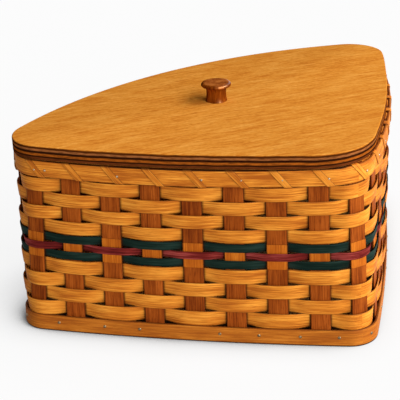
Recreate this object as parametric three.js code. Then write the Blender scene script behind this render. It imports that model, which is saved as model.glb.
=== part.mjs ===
// A lidded corner basket: flat reed stakes and weavers round a solid base board, a lashed rim,
// and a loose plywood lid with a turned knob. Millimetres, +Z up.
// In plan it is a rounded triangle: two gently bowed walls that meet at a square corner, and one
// long curved wall between the two tips. One bowed wall lies along X on the -Y side, and the
// square corner is at +X, -Y. The origin is the middle of the whole object's box, on the floor.
import * as THREE from "three";

// Main sizes: from the square corner to a tip, from the floor to the top of the rim, and the bow of
// the long curved wall
const SIDE = 340;
const WALL_HEIGHT = 176;
const CURVE_BOW = 68.9;
// Plan at the floor: angular, and a little wider at the square corner than the lid
const BASE_EXTRA_SIDE = 14.5;
const BASE_CORNER_OUT = 12.1;
const BASE_BOW = 7.4;
const BASE_CORNER_RADIUS = 28;
const BASE_TIP_RADIUS = 26;
// Plan at the rim: rounder, and bowed further
const RIM_LESS_CURVE_BOW = 6.5;
const RIM_CORNER_IN = 2.7;
const RIM_BOW = 20.5;
const RIM_CORNER_RADIUS = 46;
const RIM_TIP_RADIUS = 33.6;
// Plan of the lid: widely rounded at the square corner. The loose lid lies a little toward the front tip.
const LID_BOW = 16.2;
const LID_CORNER_RADIUS = 69.5;
const LID_TIP_RADIUS = 35.5;
const LID_SHIFT = 2.6;

// Flat reed: stakes stand upright, weavers run round them
const STAKE_PAIRS = 15;
const STAKE_WIDTH = 19;
const STAKE_THICKNESS = 1.8;
const STAKE_FOOT = 0.5;
const STAKE_STEPS = 8;
// How far the foot of a stake lies back along the wall from its head, in stake spacings
const STAKE_LEAN = 0.17;
const WEAVER_THICKNESS = 1.6;
const GREEN_WIDTH = 8.5;
const RED_WIDTH = 7.6;
const ROW_GAP = 1.1;
const STRIPE_GAP = 0.4;
const ROWS_BELOW_STRIPE = 4;
const ROWS_ABOVE_STRIPE = 4;
// Height of the stripe's middle, as a share of the wall's height
const STRIPE_SHARE = 0.512;
// How far past each edge of a stake a weaver stays flat before it crosses the wall
const EDGE_MARGIN = 1;

// Boards and bands
const BOARD_THICKNESS = 12;
const BAND_HEIGHT = 16.5;
const BAND_THICKNESS = 2.4;
const RIM_HEIGHT = 16;
const RIM_THICKNESS = 2.4;
const LASHING_WIDTH = 6.6;
const LASHING_THICKNESS = 1.2;
// Where the lashing goes over the rim, along the wall from the stake's middle
const LASHING_TOP_PLACE = -3;

// Lid, its locating cleats, its knob and the knob's screw
const LID_THICKNESS = 13.8;
const LID_CURVE_STEPS = 10;
const CLEAT_LENGTH = 80;
const CLEAT_WIDTH = 16;
const CLEAT_HEIGHT = 9;
const CLEAT_GAP = 1;
const KNOB_FROM_SIDE_WALL = 151.8;
const KNOB_FROM_FRONT_WALL = 129.3;
const KNOB_HEAD_RADIUS = 14.9;
const KNOB_NECK_RADIUS = 9.9;
const KNOB_FOOT_RADIUS = 10.7;
const KNOB_HEIGHT = 19;
const KNOB_HEAD_HEIGHT = 4.6;
// Shares of the head's overhang: how far the neck flares out under it, and how far in its top begins
const KNOB_LIP_SHARE = 0.1;
const KNOB_TOP_SHARE = 0.5;
// How full the head's rounded edge is: 0 a plain bevel, 1 a sharp corner
const KNOB_FULLNESS = 0.7;
const KNOB_CROWN = 0.5;
const KNOB_SIDES = 28;
const KNOB_CURVE_STEPS = 4;
const SCREW_RADIUS = 2;
const SCREW_HEAD_RADIUS = 4.2;
const SCREW_HEAD_HEIGHT = 2.6;
const SCREW_FLAT_SHARE = 0.6;
const SCREW_GRIP = 10;
const SCREW_SIDES = 16;
const SCREW_CURVE_STEPS = 3;

// Clearance between pieces that touch on the real basket
const SEAT = 0.3;

// Finishes
const honeyReed = finish(0xd78c32, 0.45);
const walnutReed = finish(0x96501c, 0.5);
const greenReed = finish(0x193c32, 0.55);
const redReed = finish(0x822832, 0.55);
const bandWood = finish(0xc87323, 0.45);
const plainPly = finish(0xc99a5b, 0.6);
const honeyPly = finish(0xd78c32, 0.35);
const turnedWood = finish(0xaa5014, 0.25);
const steel = finish(0xb0b0b0, 0.35, 1);

// Levels and offsets that follow from the sizes above
const STAKE_COUNT = 2 * STAKE_PAIRS;
const FLAT_HALF = STAKE_WIDTH / 2 + EDGE_MARGIN;
const STAKE_FACE = STAKE_THICKNESS / 2 + SEAT;
const WEAVER_OFFSET = STAKE_FACE + WEAVER_THICKNESS / 2;
const RIM_FACE = STAKE_FACE + RIM_THICKNESS;
const LASHING_ROOM = LASHING_THICKNESS + 2 * SEAT;
const RIM_BOTTOM = WALL_HEIGHT - RIM_HEIGHT;
const LID_BOTTOM = WALL_HEIGHT + LASHING_ROOM;
const LID_TOP = LID_BOTTOM + LID_THICKNESS;
const rows = stackRows();

const BASE_PLAN = roundedTriangle({
  corner: BASE_CORNER_OUT,
  side: SIDE + BASE_EXTRA_SIDE,
  bow: BASE_BOW,
  curveBow: CURVE_BOW,
  cornerRadius: BASE_CORNER_RADIUS,
  tipRadius: BASE_TIP_RADIUS,
});
const RIM_PLAN = roundedTriangle({
  corner: -RIM_CORNER_IN,
  side: SIDE,
  bow: RIM_BOW,
  curveBow: CURVE_BOW - RIM_LESS_CURVE_BOW,
  cornerRadius: RIM_CORNER_RADIUS,
  tipRadius: RIM_TIP_RADIUS,
});
const LID_PLAN = roundedTriangle({
  corner: 0,
  side: SIDE,
  bow: LID_BOW,
  curveBow: CURVE_BOW,
  cornerRadius: LID_CORNER_RADIUS,
  tipRadius: LID_TIP_RADIUS,
});

function finish(color, roughness, metalness = 0) {
  return new THREE.MeshStandardMaterial({ color, roughness, metalness });
}

// The weaver rows from the bottom band up, each with its lower and upper edge. The plain rows share the
// room below and above the stripe. A row goes over every second stake, counted from the square corner:
// over 0 starts with the corner stake, over 1 with the next.
function stackRows() {
  const stripeHeight = 2 * (GREEN_WIDTH + STRIPE_GAP) + RED_WIDTH;
  const stripeBottom = STRIPE_SHARE * WALL_HEIGHT - stripeHeight / 2;
  const lowerWidth = (stripeBottom - ROW_GAP - BAND_HEIGHT) / ROWS_BELOW_STRIPE - ROW_GAP;
  const upperRoom = RIM_BOTTOM - LASHING_ROOM - stripeBottom - stripeHeight;
  const upperWidth = upperRoom / ROWS_ABOVE_STRIPE - ROW_GAP;
  const list = [];
  let level = BAND_HEIGHT;
  const add = (name, width, gap, material, over) => {
    const bottom = level + gap;
    level = bottom + width;
    list.push({ name, bottom, top: level, material, over });
  };
  for (let i = 1; i <= ROWS_BELOW_STRIPE; i++) {
    add(`lower_weaver_${i}`, lowerWidth, ROW_GAP, honeyReed, (ROWS_BELOW_STRIPE - i + 1) % 2);
  }
  add("lower_green_weaver", GREEN_WIDTH, ROW_GAP, greenReed, 1);
  add("red_weaver", RED_WIDTH, STRIPE_GAP, redReed, 0);
  add("upper_green_weaver", GREEN_WIDTH, STRIPE_GAP, greenReed, 1);
  for (let i = 1; i <= ROWS_ABOVE_STRIPE; i++) {
    add(`upper_weaver_${i}`, upperWidth, ROW_GAP, honeyReed, i % 2);
  }
  return list;
}

// Where two circles meet, on the side nearest a point
function circlesMeet(a, radiusA, b, radiusB, near) {
  const apart = b.distanceTo(a);
  const along = (apart ** 2 + radiusA ** 2 - radiusB ** 2) / (2 * apart);
  const across = Math.sqrt(radiusA ** 2 - along ** 2);
  const unit = b.clone().sub(a).divideScalar(apart);
  const foot = a.clone().addScaledVector(unit, along);
  const turned = new THREE.Vector2(-unit.y, unit.x);
  const one = foot.clone().addScaledVector(turned, across);
  const other = foot.clone().addScaledVector(turned, -across);
  return one.distanceTo(near) < other.distanceTo(near) ? one : other;
}

// The arc of a given bow over a chord, bulging to the right of its direction
function bowedSide(from, to, bow) {
  const chord = to.clone().sub(from);
  const length = chord.length();
  const outward = new THREE.Vector2(chord.y, -chord.x).divideScalar(length);
  const radius = (length ** 2 / 4 + bow ** 2) / (2 * bow);
  const middle = from.clone().add(to).multiplyScalar(0.5);
  return { centre: middle.addScaledVector(outward, bow - radius), radius };
}

// A rounded triangle as six arcs, anticlockwise, starting at the middle of the square corner.
// Its square corner lies corner out along +X and -Y from the plan's own corner point.
function roundedTriangle({ corner, side, bow, curveBow, cornerRadius, tipRadius }) {
  const square = new THREE.Vector2(corner, -corner);
  const farTip = new THREE.Vector2(corner, side - corner);
  const nearTip = new THREE.Vector2(corner - side, -corner);
  const sides = [
    bowedSide(square, farTip, bow),
    bowedSide(farTip, nearTip, curveBow),
    bowedSide(nearTip, square, bow),
  ];
  const rounding = (before, after, radius, near) => ({
    centre: circlesMeet(before.centre, before.radius - radius, after.centre, after.radius - radius, near),
    radius,
  });
  const rounds = [
    rounding(sides[2], sides[0], cornerRadius, square),
    rounding(sides[0], sides[1], tipRadius, farTip),
    rounding(sides[1], sides[2], tipRadius, nearTip),
  ];
  const angleTo = (from, to) => Math.atan2(to.centre.y - from.centre.y, to.centre.x - from.centre.x);
  const arc = (circle, start, end) => {
    const sweep = (end - start + 4 * Math.PI) % (2 * Math.PI);
    return { ...circle, start, sweep, length: circle.radius * sweep };
  };
  const arcs = [];
  for (let i = 0; i < 3; i++) {
    const next = rounds[(i + 1) % 3];
    arcs.push(arc(sides[i], angleTo(sides[i], rounds[i]), angleTo(sides[i], next)));
    arcs.push(arc(next, angleTo(sides[i], next), angleTo(sides[(i + 1) % 3], next)));
  }
  const length = arcs.reduce((sum, one) => sum + one.length, 0);
  return { arcs, length };
}

// The point and outward normal at a share of the way round, measured from the square corner's middle
function planAt(plan, share) {
  const cornerHalf = plan.arcs[5].length / 2;
  let left = (((share % 1) + 1) % 1) * plan.length - cornerHalf;
  if (left < 0) left += plan.length;
  for (const arc of plan.arcs) {
    if (left <= arc.length) {
      const angle = arc.start + left / arc.radius;
      const normal = new THREE.Vector2(Math.cos(angle), Math.sin(angle));
      return { point: arc.centre.clone().addScaledVector(normal, arc.radius), normal };
    }
    left -= arc.length;
  }
  throw new Error("the share lies outside the plan");
}

// A flat stake's place on a plan: the chord between two points on the wall's middle line
function chordAt(plan, share, depth) {
  const step = FLAT_HALF / plan.length;
  const [before, after] = [share - step, share + step].map((one) => {
    const { point, normal } = planAt(plan, one);
    return point.addScaledVector(normal, -depth);
  });
  const along = after.clone().sub(before).normalize();
  return { middle: before.add(after).multiplyScalar(0.5), out: new THREE.Vector2(along.y, -along.x) };
}

// One stake's own frame: its centre line from floor to rim, and the way it faces at each level
function stakeFrame(index) {
  const foot = chordAt(BASE_PLAN, (index - STAKE_LEAN) / STAKE_COUNT, STAKE_FACE + BAND_THICKNESS);
  const head = chordAt(RIM_PLAN, index / STAKE_COUNT, RIM_FACE);
  // A point along the wall, out of it and at a level, measured from the stake's centre line
  const at = (alongBy, outBy, level) => {
    const share = level / WALL_HEIGHT;
    const out = foot.out.clone().lerp(head.out, share).normalize();
    const along = new THREE.Vector2(-out.y, out.x);
    const spot = foot.middle.clone().lerp(head.middle, share);
    spot.addScaledVector(along, alongBy).addScaledVector(out, outBy);
    return new THREE.Vector3(spot.x, spot.y, level);
  };
  return { at };
}

const stakes = Array.from({ length: STAKE_COUNT }, (_, index) => stakeFrame(index));

// A closed solid from triangles given by index
function solid(points, triangles) {
  const geometry = new THREE.BufferGeometry().setFromPoints(points);
  geometry.setIndex(triangles);
  geometry.computeVertexNormals();
  return geometry;
}

// The skin between neighbouring four-sided sections, and two ends unless the run is closed
function sweep(sections, closed) {
  const triangles = [];
  const runs = closed ? sections.length : sections.length - 1;
  for (let i = 0; i < runs; i++) {
    const here = 4 * i;
    const next = 4 * ((i + 1) % sections.length);
    for (let k = 0; k < 4; k++) {
      const l = (k + 1) % 4;
      triangles.push(here + k, next + k, next + l, here + k, next + l, here + l);
    }
  }
  if (!closed) {
    const last = 4 * (sections.length - 1);
    triangles.push(0, 1, 2, 0, 2, 3);
    triangles.push(last, last + 2, last + 1, last, last + 3, last + 2);
  }
  return solid(sections.flat(), triangles);
}

// A ring round the wall: at each stake it lies flat at its own distance out from the stake's middle
function wallRing(bottom, top, thickness, offsetAt) {
  const sections = [];
  stakes.forEach((stake, index) => {
    const inner = offsetAt(index) - thickness / 2;
    const outer = offsetAt(index) + thickness / 2;
    for (const along of [-FLAT_HALF, FLAT_HALF]) {
      sections.push([
        stake.at(along, outer, bottom),
        stake.at(along, outer, top),
        stake.at(along, inner, top),
        stake.at(along, inner, bottom),
      ]);
    }
  });
  return sweep(sections, true);
}

function stakeSolid(stake) {
  const section = (level) => [
    stake.at(-STAKE_WIDTH / 2, STAKE_THICKNESS / 2, level),
    stake.at(-STAKE_WIDTH / 2, -STAKE_THICKNESS / 2, level),
    stake.at(STAKE_WIDTH / 2, -STAKE_THICKNESS / 2, level),
    stake.at(STAKE_WIDTH / 2, STAKE_THICKNESS / 2, level),
  ];
  const sections = [];
  for (let i = 0; i <= STAKE_STEPS; i++) {
    sections.push(section(THREE.MathUtils.lerp(STAKE_FOOT, WALL_HEIGHT - SEAT, i / STAKE_STEPS)));
  }
  return sweep(sections, false);
}

// The base board's edge bears on the inner faces of the stakes
function baseBoard() {
  const loop = (level) =>
    stakes.flatMap((stake) => [
      stake.at(-FLAT_HALF, -STAKE_FACE, level),
      stake.at(FLAT_HALF, -STAKE_FACE, level),
    ]);
  const lower = loop(0);
  const upper = loop(BOARD_THICKNESS);
  const count = lower.length;
  const flat = lower.map((point) => new THREE.Vector2(point.x, point.y));
  const triangles = [];
  for (const [a, b, c] of THREE.ShapeUtils.triangulateShape(flat, [])) {
    triangles.push(c, b, a, a + count, b + count, c + count);
  }
  for (let i = 0; i < count; i++) {
    const j = (i + 1) % count;
    triangles.push(i, j, j + count, i, j + count, i + count);
  }
  return solid([...lower, ...upper], triangles);
}

// The lashing winds round both rim bands, once at each stake: over the top at the stake, down the outside
// on a slant into the gap beside it, in under the bands, then up the inside to the next stake.
function rimLashing() {
  const near = RIM_FACE + SEAT;
  const far = near + LASHING_THICKNESS;
  const topEdges = [LASHING_TOP_PLACE - LASHING_WIDTH / 2, LASHING_TOP_PLACE + LASHING_WIDTH / 2];
  const sections = [];
  stakes.forEach((stake, index) => {
    const next = stakes[(index + 1) % STAKE_COUNT];
    const inGap = (share, out, level) =>
      stake.at(FLAT_HALF, out, level).lerp(next.at(-FLAT_HALF, out, level), share);
    const gap = inGap(0, far, WALL_HEIGHT).distanceTo(inGap(1, far, WALL_HEIGHT));
    const bottomEdges = [SEAT, SEAT + LASHING_WIDTH];
    // Where each edge of the strip leaves one flat of the wall for the next
    const outerFolds = [0, 1].map((edge) => {
      const onStake = FLAT_HALF - topEdges[edge];
      return WALL_HEIGHT - (RIM_HEIGHT * onStake) / (onStake + bottomEdges[edge]);
    });
    const innerFolds = [0, 1].map((edge) => {
      const onGap = gap - bottomEdges[edge];
      return RIM_BOTTOM + (RIM_HEIGHT * onGap) / (onGap + FLAT_HALF + topEdges[edge]);
    });
    const section = (side, lift, place) => [
      place(0, side * far, lift * (SEAT + LASHING_THICKNESS)),
      place(1, side * far, lift * (SEAT + LASHING_THICKNESS)),
      place(1, side * near, lift * SEAT),
      place(0, side * near, lift * SEAT),
    ];
    const atTop = (edge, out, up) => stake.at(topEdges[edge], out, WALL_HEIGHT + up);
    const atBottom = (edge, out, up) => inGap(bottomEdges[edge] / gap, out, RIM_BOTTOM + up);
    sections.push(section(-1, 1, atTop));
    sections.push(section(1, 1, atTop));
    sections.push(section(1, 0, (edge, out) => stake.at(FLAT_HALF, out, outerFolds[edge])));
    sections.push(section(1, -1, atBottom));
    sections.push(section(-1, -1, atBottom));
    sections.push(section(-1, 0, (edge, out) => next.at(-FLAT_HALF, out, innerFolds[edge])));
  });
  return sweep(sections, true);
}

function lidBoard() {
  const shape = new THREE.Shape();
  for (const arc of LID_PLAN.arcs) {
    shape.absarc(arc.centre.x, arc.centre.y, arc.radius, arc.start, arc.start + arc.sweep, false);
  }
  const hole = new THREE.Path();
  hole.absarc(-KNOB_FROM_SIDE_WALL, KNOB_FROM_FRONT_WALL, SCREW_RADIUS + SEAT, 0, 2 * Math.PI, true);
  shape.holes.push(hole);
  const options = { depth: LID_THICKNESS, bevelEnabled: false, curveSegments: LID_CURVE_STEPS };
  return new THREE.ExtrudeGeometry(shape, options);
}

// How far the middle of a cleat lies from the centre of its bowed wall. The cleat's straight outer face
// stays clear of the rim lashing at both ends, also when the lid is shifted.
function cleatReach(wall) {
  const rimDepth = 2 * RIM_FACE + SEAT + LASHING_THICKNESS;
  const clear = wall.radius - rimDepth - LID_SHIFT - CLEAT_GAP;
  return Math.sqrt(clear ** 2 - CLEAT_LENGTH ** 2 / 4) - CLEAT_WIDTH / 2;
}

// The knob turns about Z: a waisted stem under a rounded head, bored from below for its screw
function knob() {
  const bore = SCREW_RADIUS + SEAT;
  const headBottom = KNOB_HEIGHT - KNOB_HEAD_HEIGHT;
  const widest = KNOB_HEIGHT - KNOB_HEAD_HEIGHT / 2;
  const round = (KNOB_FULLNESS * KNOB_HEAD_HEIGHT) / 2;
  const flare = KNOB_HEAD_RADIUS - KNOB_NECK_RADIUS;
  const outline = new THREE.Path();
  outline.moveTo(0, SCREW_GRIP + SEAT);
  outline.lineTo(bore, SCREW_GRIP + SEAT);
  outline.lineTo(bore, 0);
  outline.lineTo(KNOB_FOOT_RADIUS, 0);
  const lip = KNOB_NECK_RADIUS + flare * KNOB_LIP_SHARE;
  const top = KNOB_HEAD_RADIUS - flare * KNOB_TOP_SHARE;
  outline.quadraticCurveTo(KNOB_NECK_RADIUS, headBottom / 2, lip, headBottom);
  outline.quadraticCurveTo(KNOB_HEAD_RADIUS, widest - round, KNOB_HEAD_RADIUS, widest);
  outline.quadraticCurveTo(KNOB_HEAD_RADIUS, widest + round, top, KNOB_HEIGHT - KNOB_CROWN);
  outline.lineTo(0, KNOB_HEIGHT);
  return turned(outline, KNOB_SIDES, KNOB_CURVE_STEPS);
}

function knobScrew() {
  const tip = LID_THICKNESS + SCREW_GRIP;
  const outline = new THREE.Path();
  outline.moveTo(0, -SCREW_HEAD_HEIGHT - SEAT);
  outline.lineTo(SCREW_HEAD_RADIUS * SCREW_FLAT_SHARE, -SCREW_HEAD_HEIGHT - SEAT);
  outline.quadraticCurveTo(SCREW_HEAD_RADIUS, -SCREW_HEAD_HEIGHT - SEAT, SCREW_HEAD_RADIUS, -SEAT);
  outline.lineTo(SCREW_RADIUS, -SEAT);
  outline.lineTo(SCREW_RADIUS, tip - SCREW_RADIUS);
  outline.lineTo(0, tip);
  return turned(outline, SCREW_SIDES, SCREW_CURVE_STEPS);
}

// A lathe about Z of a profile drawn from the axis, out and back to the axis
function turned(outline, sides, curveSteps) {
  return new THREE.LatheGeometry(outline.getPoints(curveSteps), sides).rotateX(Math.PI / 2);
}

const basket = new THREE.Group();

function addPiece(name, geometry, material) {
  const mesh = new THREE.Mesh(geometry, material);
  mesh.name = name;
  basket.add(mesh);
  return mesh;
}

// Base, stakes and bottom band
addPiece("base_board", baseBoard(), plainPly);
stakes.forEach((stake, index) => {
  addPiece(`stake_${String(index + 1).padStart(2, "0")}`, stakeSolid(stake), walnutReed);
});
const bandOffset = STAKE_FACE + BAND_THICKNESS / 2;
addPiece("bottom_band", wallRing(0, BAND_HEIGHT, BAND_THICKNESS, () => bandOffset), bandWood);

// Weavers
rows.forEach(({ name, bottom, top, material, over }) => {
  const offsetAt = (index) => (index % 2 === over ? WEAVER_OFFSET : -WEAVER_OFFSET);
  addPiece(name, wallRing(bottom, top, WEAVER_THICKNESS, offsetAt), material);
});

// Rim
const rimOffset = STAKE_FACE + RIM_THICKNESS / 2;
addPiece("rim_outer_band", wallRing(RIM_BOTTOM, WALL_HEIGHT, RIM_THICKNESS, () => rimOffset), honeyReed);
addPiece("rim_inner_band", wallRing(RIM_BOTTOM, WALL_HEIGHT, RIM_THICKNESS, () => -rimOffset), honeyReed);
addPiece("rim_lashing", rimLashing(), honeyReed);

// Lid: each piece is given its place on a centred lid, and goes with the lid's shift
function addLidPiece(name, geometry, material, x, y, z) {
  const piece = addPiece(name, geometry, material);
  piece.position.set(x - LID_SHIFT, y - LID_SHIFT, z);
  return piece;
}

addLidPiece("lid_board", lidBoard(), honeyPly, 0, 0, LID_BOTTOM);
["lid_cleat_side", "lid_cleat_curve", "lid_cleat_front"].forEach((name, index) => {
  const wall = RIM_PLAN.arcs[2 * index];
  const facing = wall.start + wall.sweep / 2;
  const x = wall.centre.x + cleatReach(wall) * Math.cos(facing);
  const y = wall.centre.y + cleatReach(wall) * Math.sin(facing);
  const shape = new THREE.BoxGeometry(CLEAT_WIDTH, CLEAT_LENGTH, CLEAT_HEIGHT);
  const piece = addLidPiece(name, shape, plainPly, x, y, LID_BOTTOM - SEAT - CLEAT_HEIGHT / 2);
  piece.rotation.z = facing;
});
addLidPiece("knob", knob(), turnedWood, -KNOB_FROM_SIDE_WALL, KNOB_FROM_FRONT_WALL, LID_TOP + SEAT);
addLidPiece("knob_screw", knobScrew(), steel, -KNOB_FROM_SIDE_WALL, KNOB_FROM_FRONT_WALL, LID_BOTTOM);

// The origin goes to the middle of the object's box, on the floor
const middle = new THREE.Box3().setFromObject(basket, true).getCenter(new THREE.Vector3());
basket.position.set(-middle.x, -middle.y, 0);

export default basket;
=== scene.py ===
"""Looks of a lidded corner basket of woven flat reed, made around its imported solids.

Shapes are worked out in millimetres in the plan's own frame, whose origin is the corner point of the
lid's plan, and go into the shared frame, in metres, when their meshes are made. A place along the wall
is a turn: the count of stakes from the square corner, anticlockwise as seen from above.
"""

import math

import bpy
import numpy as np
from mathutils import Matrix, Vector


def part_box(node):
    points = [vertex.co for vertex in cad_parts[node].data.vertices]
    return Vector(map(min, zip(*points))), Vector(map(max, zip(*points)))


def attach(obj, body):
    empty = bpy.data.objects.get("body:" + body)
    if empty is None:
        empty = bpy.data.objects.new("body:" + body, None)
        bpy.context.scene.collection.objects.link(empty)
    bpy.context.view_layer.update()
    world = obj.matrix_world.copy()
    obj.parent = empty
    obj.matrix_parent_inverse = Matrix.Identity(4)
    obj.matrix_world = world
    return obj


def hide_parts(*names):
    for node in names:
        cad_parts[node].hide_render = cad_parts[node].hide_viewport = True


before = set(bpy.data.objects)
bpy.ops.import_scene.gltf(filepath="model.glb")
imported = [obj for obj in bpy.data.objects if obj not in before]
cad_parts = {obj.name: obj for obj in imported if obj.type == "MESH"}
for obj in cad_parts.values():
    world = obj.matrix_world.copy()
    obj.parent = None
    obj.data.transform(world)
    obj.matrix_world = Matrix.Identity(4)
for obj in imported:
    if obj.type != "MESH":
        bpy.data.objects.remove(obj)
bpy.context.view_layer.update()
scene = bpy.context.scene
rng = np.random.default_rng(7)

# Sizes of the solids, in millimetres, with the stakes' lean in turns
SIDE = 340.0
WALL_HEIGHT = 176.0
CURVE_BOW = 68.9
STAKE_COUNT = 30
STAKE_WIDTH = 19.0
STAKE_THICKNESS = 1.8
STAKE_LEAN = 0.17
STAKE_FOOT = 0.5
WALL_DEPTH = 3.6
BAND_HEIGHT = 16.5
BAND_THICKNESS = 2.4
BAND_OFFSET = 2.4
RIM_BOTTOM = 160.0
BOARD_THICKNESS = 12.0
LID_BOTTOM = 177.8
LID_TOP = 191.6
LID_SHIFT = 2.6
KNOB_PLACE = np.array([-154.4, 126.7])
CLEARANCE = 0.3

# Weaver rows from the bottom up: name, lower edge, width, first stake that the row goes over, finish
PLAIN_LOW = 13.85
PLAIN_HIGH = 12.75
GREEN_WIDTH = 8.5
RED_WIDTH = 7.6
STRIPE_BOTTOM = 77.4
ROWS = [
    ("lower_weaver_1", 17.6, PLAIN_LOW, 0, "honey_reed"),
    ("lower_weaver_2", 32.55, PLAIN_LOW, 1, "honey_reed"),
    ("lower_weaver_3", 47.5, PLAIN_LOW, 0, "honey_reed"),
    ("lower_weaver_4", 62.45, PLAIN_LOW, 1, "honey_reed"),
    ("lower_green_weaver", STRIPE_BOTTOM, GREEN_WIDTH, 1, "green_reed"),
    ("red_weaver", 86.3, RED_WIDTH, 0, "red_reed"),
    ("upper_green_weaver", 94.3, GREEN_WIDTH, 1, "green_reed"),
    ("upper_weaver_1", 103.9, PLAIN_HIGH, 1, "honey_reed"),
    ("upper_weaver_2", 117.75, PLAIN_HIGH, 0, "honey_reed"),
    ("upper_weaver_3", 131.6, PLAIN_HIGH, 1, "honey_reed"),
    ("upper_weaver_4", 145.45, PLAIN_HIGH, 0, "honey_reed"),
]


# Small formulas used throughout


def bell(distance, reach):
    """One at no distance, falling away with the square of the distance over the reach."""
    return np.exp(-((distance / reach) ** 2))


def smooth(share):
    """From nothing to one with an even start and end: three squares less two cubes."""
    return share**2 * (3 - 2 * share)


def signed_power(value, power):
    """A power of the size of a value, with the value's own sign."""
    return np.sign(value) * np.abs(value) ** power


# Plan curves and the wall between them


def bowed_side(start, end, bow):
    """Centre and radius of the arc that rises by bow over a chord, to the right of its direction."""
    chord = end - start
    length = np.hypot(*chord)
    outward = np.array([chord[1], -chord[0]]) / length
    radius = (length**2 / 4 + bow**2) / (2 * bow)
    return (start + end) / 2 + outward * (bow - radius), radius


def circles_meet(first, first_radius, second, second_radius, near):
    """The crossing of two circles that lies nearest a point."""
    apart = np.hypot(*(second - first))
    unit = (second - first) / apart
    along = (apart**2 + first_radius**2 - second_radius**2) / (2 * apart)
    across = math.sqrt(first_radius**2 - along**2)
    turned = np.array([-unit[1], unit[0]])
    crossings = [first + unit * along + turned * side for side in (across, -across)]
    return min(crossings, key=lambda point: np.hypot(*(point - near)))


def rounded_triangle(corner, side, bow, curve_bow, corner_radius, tip_radius):
    """Six arcs, anticlockwise: wall, tip, curve, tip, wall, square corner, as arrays of their sizes."""
    square = np.array([corner, -corner])
    far_tip = np.array([corner, side - corner])
    near_tip = np.array([corner - side, -corner])
    sides = [
        bowed_side(square, far_tip, bow),
        bowed_side(far_tip, near_tip, curve_bow),
        bowed_side(near_tip, square, bow),
    ]
    points = [square, far_tip, near_tip]
    radii = [corner_radius, tip_radius, tip_radius]
    rounds = []
    for i in range(3):
        (before, r_before), (after, r_after) = sides[i - 1], sides[i]
        centre = circles_meet(before, r_before - radii[i], after, r_after - radii[i], points[i])
        rounds.append((centre, radii[i]))
    centres, arc_radii, starts, sweeps = [], [], [], []
    for i in range(3):
        turn = rounds[(i + 1) % 3]
        for circle, leave, arrive in (
            (sides[i], rounds[i][0] - sides[i][0], turn[0] - sides[i][0]),
            (turn, turn[0] - sides[i][0], turn[0] - sides[(i + 1) % 3][0]),
        ):
            start = math.atan2(leave[1], leave[0])
            centres.append(circle[0])
            arc_radii.append(circle[1])
            starts.append(start)
            sweeps.append((math.atan2(arrive[1], arrive[0]) - start) % math.tau)
    lengths = np.array(arc_radii) * np.array(sweeps)
    return {
        "centre": np.array(centres),
        "radius": np.array(arc_radii),
        "start": np.array(starts),
        "length": lengths,
        "end": np.cumsum(lengths),
        "total": lengths.sum(),
    }


def plan_at(plan, share, depth):
    """Points and outward normals at shares of the way round, from the square corner's middle, set in
    by a depth."""
    run = (np.asarray(share, float) * plan["total"] - plan["length"][5] / 2) % plan["total"]
    arc = np.minimum(np.searchsorted(plan["end"], run), 5)
    angle = plan["start"][arc] + (run - plan["end"][arc] + plan["length"][arc]) / plan["radius"][arc]
    normal = np.stack([np.cos(angle), np.sin(angle)], -1)
    return plan["centre"][arc] + normal * (plan["radius"][arc] - depth)[..., None], normal


BASE_PLAN = rounded_triangle(
    corner=12.1, side=SIDE + 14.5, bow=7.4, curve_bow=CURVE_BOW, corner_radius=28.0, tip_radius=26.0)
RIM_PLAN = rounded_triangle(
    corner=-2.7, side=SIDE, bow=20.5, curve_bow=CURVE_BOW - 6.5, corner_radius=46.0, tip_radius=33.6)
LID_PLAN = rounded_triangle(
    corner=0.0, side=SIDE, bow=16.2, curve_bow=CURVE_BOW, corner_radius=69.5, tip_radius=35.5)

# The weave's swelling at the front tip: its size, its middle and reach in turns, the heights where it
# starts and is full, and the share of it that is left at the rim
TIP_FULLNESS = 2.3
TIP_TURN = 20.5
TIP_REACH = 1.1
FULL_FROM = 14.0
FULLEST = 30.0
RIM_SHARE = 0.3


def tip_fullness(turn, level):
    """How far the weave swells at the front tip: a bell along the wall, nothing behind the bottom band, all
    of it just above the band, and falling from there to a share of it at the rim."""
    above_band = np.clip((level - FULL_FROM) / (FULLEST - FULL_FROM), 0.0, 1.0)
    to_rim = np.clip((level - FULLEST) / (WALL_HEIGHT - FULLEST), 0.0, 1.0)
    swell = TIP_FULLNESS * bell(turn - TIP_TURN, TIP_REACH) * smooth(above_band)
    return swell * (1 - (1 - RIM_SHARE) * to_rim)


def wall(turn, out, level):
    """Points of the wall: out is the distance from the wall's middle face along its normal, and level is
    the height. Each point lies on the line from floor plan to rim plan, and the front tip is a little
    fuller."""
    turn, out, level = np.broadcast_arrays(np.asarray(turn, float), out, level)
    out = out + tip_fullness(turn, level)
    foot, foot_normal = plan_at(BASE_PLAN, (turn - STAKE_LEAN) / STAKE_COUNT, WALL_DEPTH)
    head, head_normal = plan_at(RIM_PLAN, turn / STAKE_COUNT, WALL_DEPTH)
    rise = (level / WALL_HEIGHT)[..., None]
    normal = foot_normal * (1 - rise) + head_normal * rise
    normal = normal / np.linalg.norm(normal, axis=-1, keepdims=True)
    spot = foot * (1 - rise) + head * rise + normal * out[..., None]
    return np.concatenate([spot, level[..., None]], -1)


def spacing(level):
    """Distance between neighbouring stakes along the wall at a height."""
    rise = level / WALL_HEIGHT
    return (BASE_PLAN["total"] * (1 - rise) + RIM_PLAN["total"] * rise) / STAKE_COUNT


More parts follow.
